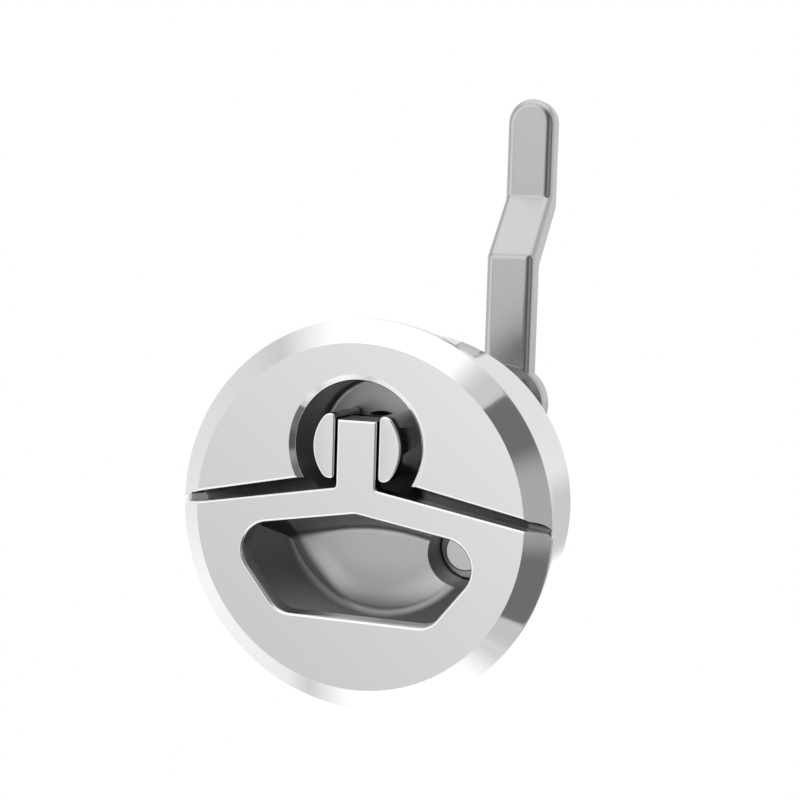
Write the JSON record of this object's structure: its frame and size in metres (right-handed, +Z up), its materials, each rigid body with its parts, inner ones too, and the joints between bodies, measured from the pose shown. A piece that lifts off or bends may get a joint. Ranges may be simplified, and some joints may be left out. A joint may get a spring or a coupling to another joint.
{
  "type": "flush lift ring latch",
  "caption": "Round flush lift ring: a half-moon ring folds out of a dished cup and turns a long spindle with a cranked latching arm behind the panel.",
  "frame": {"origin": "centre of the barrel where the rear face of the flange gasket meets the panel", "axes": "+Y into the panel along the barrel, +Z up towards the latching arm's tip, +X to the right as seen from in front"},
  "size_m": [0.076, 0.1233, 0.1296],
  "materials": {
    "polished_stainless": "polished stainless casting",
    "satin_stainless": "satin stainless",
    "machined_stainless": "turned stainless",
    "gasket_rubber": "matt black",
    "seal_rubber": "smooth black"
  },
  "bodies": {
    "case": {"body": "polished_stainless", "flange_gasket": "gasket_rubber", "lock_plug": "satin_stainless"},
    "spindle_group": {"spindle": "machined_stainless", "hinge_pin": "machined_stainless", "spindle_seal_front": "seal_rubber", "spindle_seal_back": "seal_rubber", "thrust_washer": "machined_stainless", "disc_spring": "machined_stainless", "backing_washer": "machined_stainless", "spindle_nuts": "machined_stainless", "arm_nuts": "machined_stainless", "arm_washer": "machined_stainless", "spring_washer": "machined_stainless", "arm": "satin_stainless"},
    "lift_ring": {"ring": "polished_stainless"}
  },
  "joints": [
    {"name": "turn", "type": "hinge", "parent": "case", "child": "spindle_group", "pos_m": [0, 0, 0.0136], "axis": [0, 1, 0], "range_deg": [-0.8, 0.8]},
    {"name": "lift", "type": "hinge", "parent": "spindle_group", "child": "lift_ring", "pos_m": [0, 0.0011, 0.0154], "axis": [-1, 0, 0], "range_deg": [0, 90]}
  ]
}
